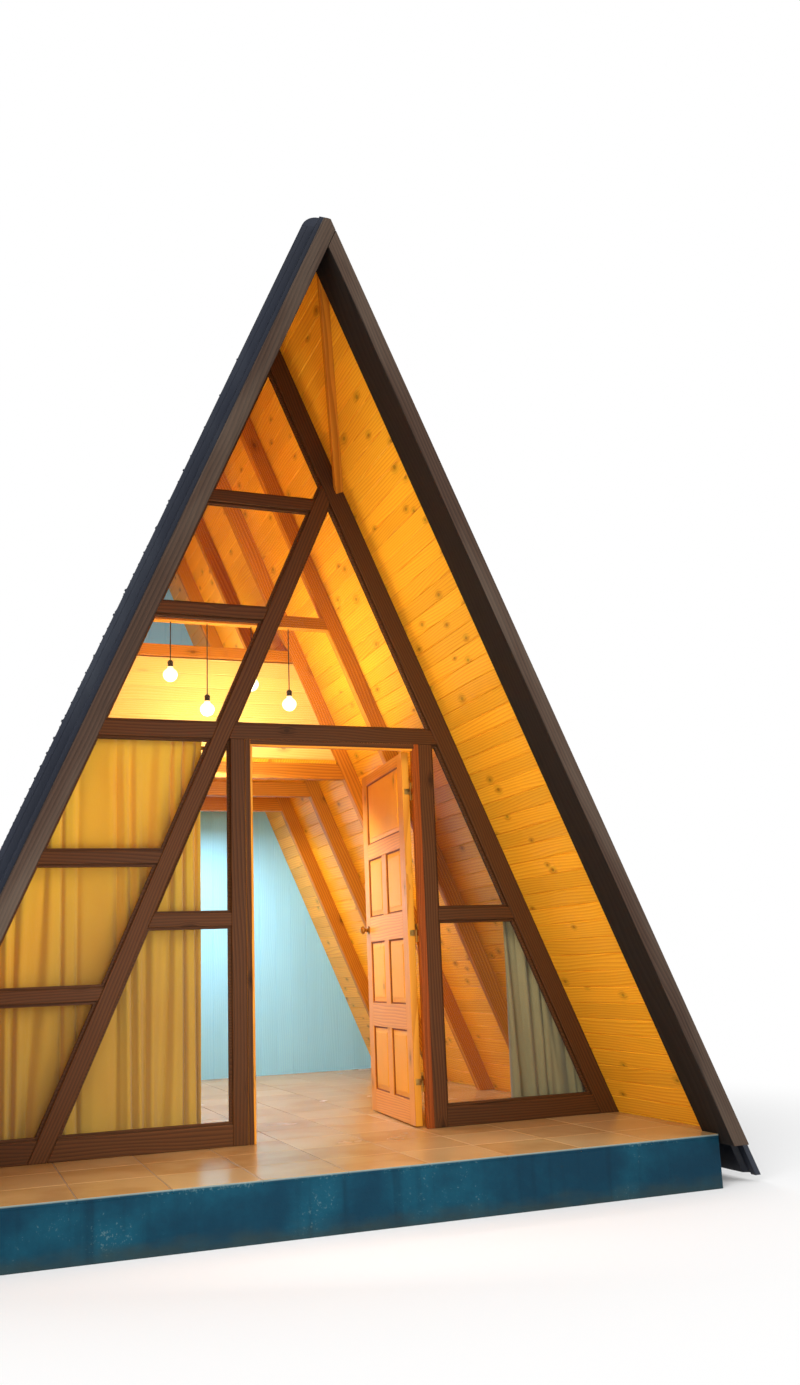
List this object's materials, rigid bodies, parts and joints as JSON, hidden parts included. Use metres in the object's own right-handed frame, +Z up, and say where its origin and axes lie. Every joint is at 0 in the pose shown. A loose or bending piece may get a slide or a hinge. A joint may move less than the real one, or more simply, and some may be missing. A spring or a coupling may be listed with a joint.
{
  "type": "a-frame cabin",
  "caption": "A-frame timber cabin with steep boarded slopes, a deep open porch, a glazed timber front, a panelled door standing open and a loft at the back.",
  "frame": {"origin": "middle of the cabin's footprint, on the ground", "axes": "+X to the right across the front, +Y from the porch to the back wall along the ridge, +Z up"},
  "size_m": [4.3356, 5.66, 4.9463],
  "materials": {
    "painted_concrete": "painted concrete, chalky teal blue, worn",
    "clay_tiles": "large terracotta tiles, satin",
    "pine_boards": "varnished pine boards with knots",
    "rafter_wood": "red-brown stained timber",
    "dark_wood": "dark red-brown stained timber",
    "barge_wood": "weathered grey-brown timber",
    "roof_metal": "dark profiled roof sheet, matt",
    "window_glass": "clear glass",
    "door_wood": "varnished pine joinery",
    "cream_boards": "cream painted boards",
    "white_paint": "white painted boards",
    "brass": "worn brass",
    "lamp_glass": "lit clear bulbs",
    "curtain_cloth": "thin yellow cloth"
  },
  "bodies": {
    "cabin": {"plinth": "painted_concrete", "floor_tiles": "clay_tiles", "left_lining": "pine_boards", "right_lining": "pine_boards", "purlins": "rafter_wood", "left_roof_sheets": "roof_metal", "right_roof_sheets": "roof_metal", "ridge_cap": "roof_metal", "left_barge": "barge_wood", "right_barge": "barge_wood", "rear_left_barge": "barge_wood", "rear_right_barge": "barge_wood", "left_soffit_brace": "pine_boards", "right_soffit_brace": "pine_boards", "left_front_rafter": "dark_wood", "right_front_rafter": "dark_wood", "left_rafters": "rafter_wood", "right_rafters": "rafter_wood", "brace": "dark_wood", "transom": "dark_wood", "left_post": "dark_wood", "right_post": "dark_wood", "left_rails": "dark_wood", "mid_rails": "dark_wood", "left_sill": "dark_wood", "right_sill": "dark_wood", "upper_glass": "window_glass", "left_glass": "window_glass", "right_glass": "window_glass", "door_lining": "door_wood", "frame_hinges": "brass", "collar_ties": "rafter_wood", "loft_beams": "rafter_wood", "loft_boards": "pine_boards", "loft_guard": "cream_boards", "back_outer_wall": "barge_wood", "back_inner_wall": "white_paint", "pendant_lamps": "lamp_glass", "curtain_rod": "brass", "left_curtain": "curtain_cloth", "right_curtain": "curtain_cloth"},
    "door": {"door_leaf": "door_wood", "leaf_hinges": "brass", "door_knobs": "brass"}
  },
  "joints": [
    {"name": "door_hinge", "type": "hinge", "parent": "cabin", "child": "door", "pos_m": [0.8155, -1.583, 1.28], "axis": [0, 0, 1], "range_deg": [-5, 95]}
  ]
}
